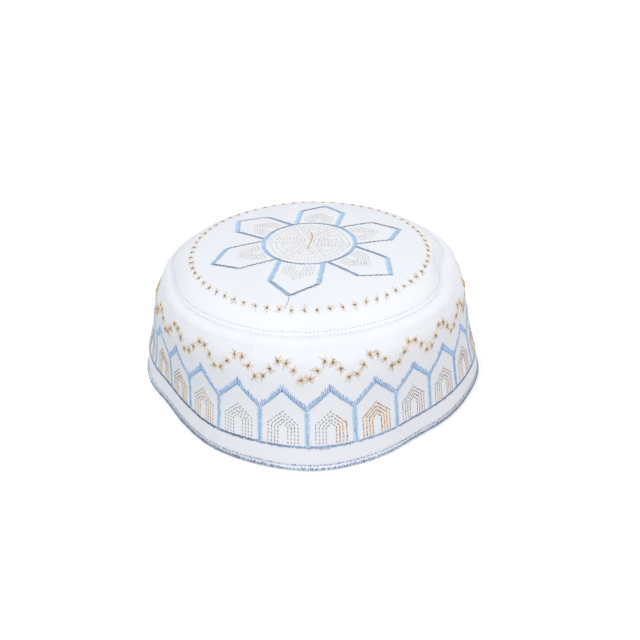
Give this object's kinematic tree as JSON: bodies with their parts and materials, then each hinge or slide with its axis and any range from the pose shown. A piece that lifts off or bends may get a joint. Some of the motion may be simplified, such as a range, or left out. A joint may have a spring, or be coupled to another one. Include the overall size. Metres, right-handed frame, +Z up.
{
  "type": "embroidered skullcap",
  "caption": "Round stiff skullcap with a low domed crown, a gathered flaring side band and a thread-wound rim; worn on the head.",
  "frame": {"origin": "middle of the cap's outline seen from above, at the foot of its rim", "axes": "+Z up, square to the rim; -Y is the front that the picture shows"},
  "size_m": [0.1976, 0.1902, 0.0782],
  "materials": {
    "white_cloth": "plain woven cotton, stiffened, matt",
    "blue_thread": "satin stitched thread with a silky sheen",
    "gold_thread": "silky embroidery thread",
    "tan_thread": "fine running stitches, matt"
  },
  "bodies": {
    "root": {"crown_panel": "white_cloth", "side_band": "white_cloth", "hem_edging": "blue_thread"}
  },
  "joints": []
}
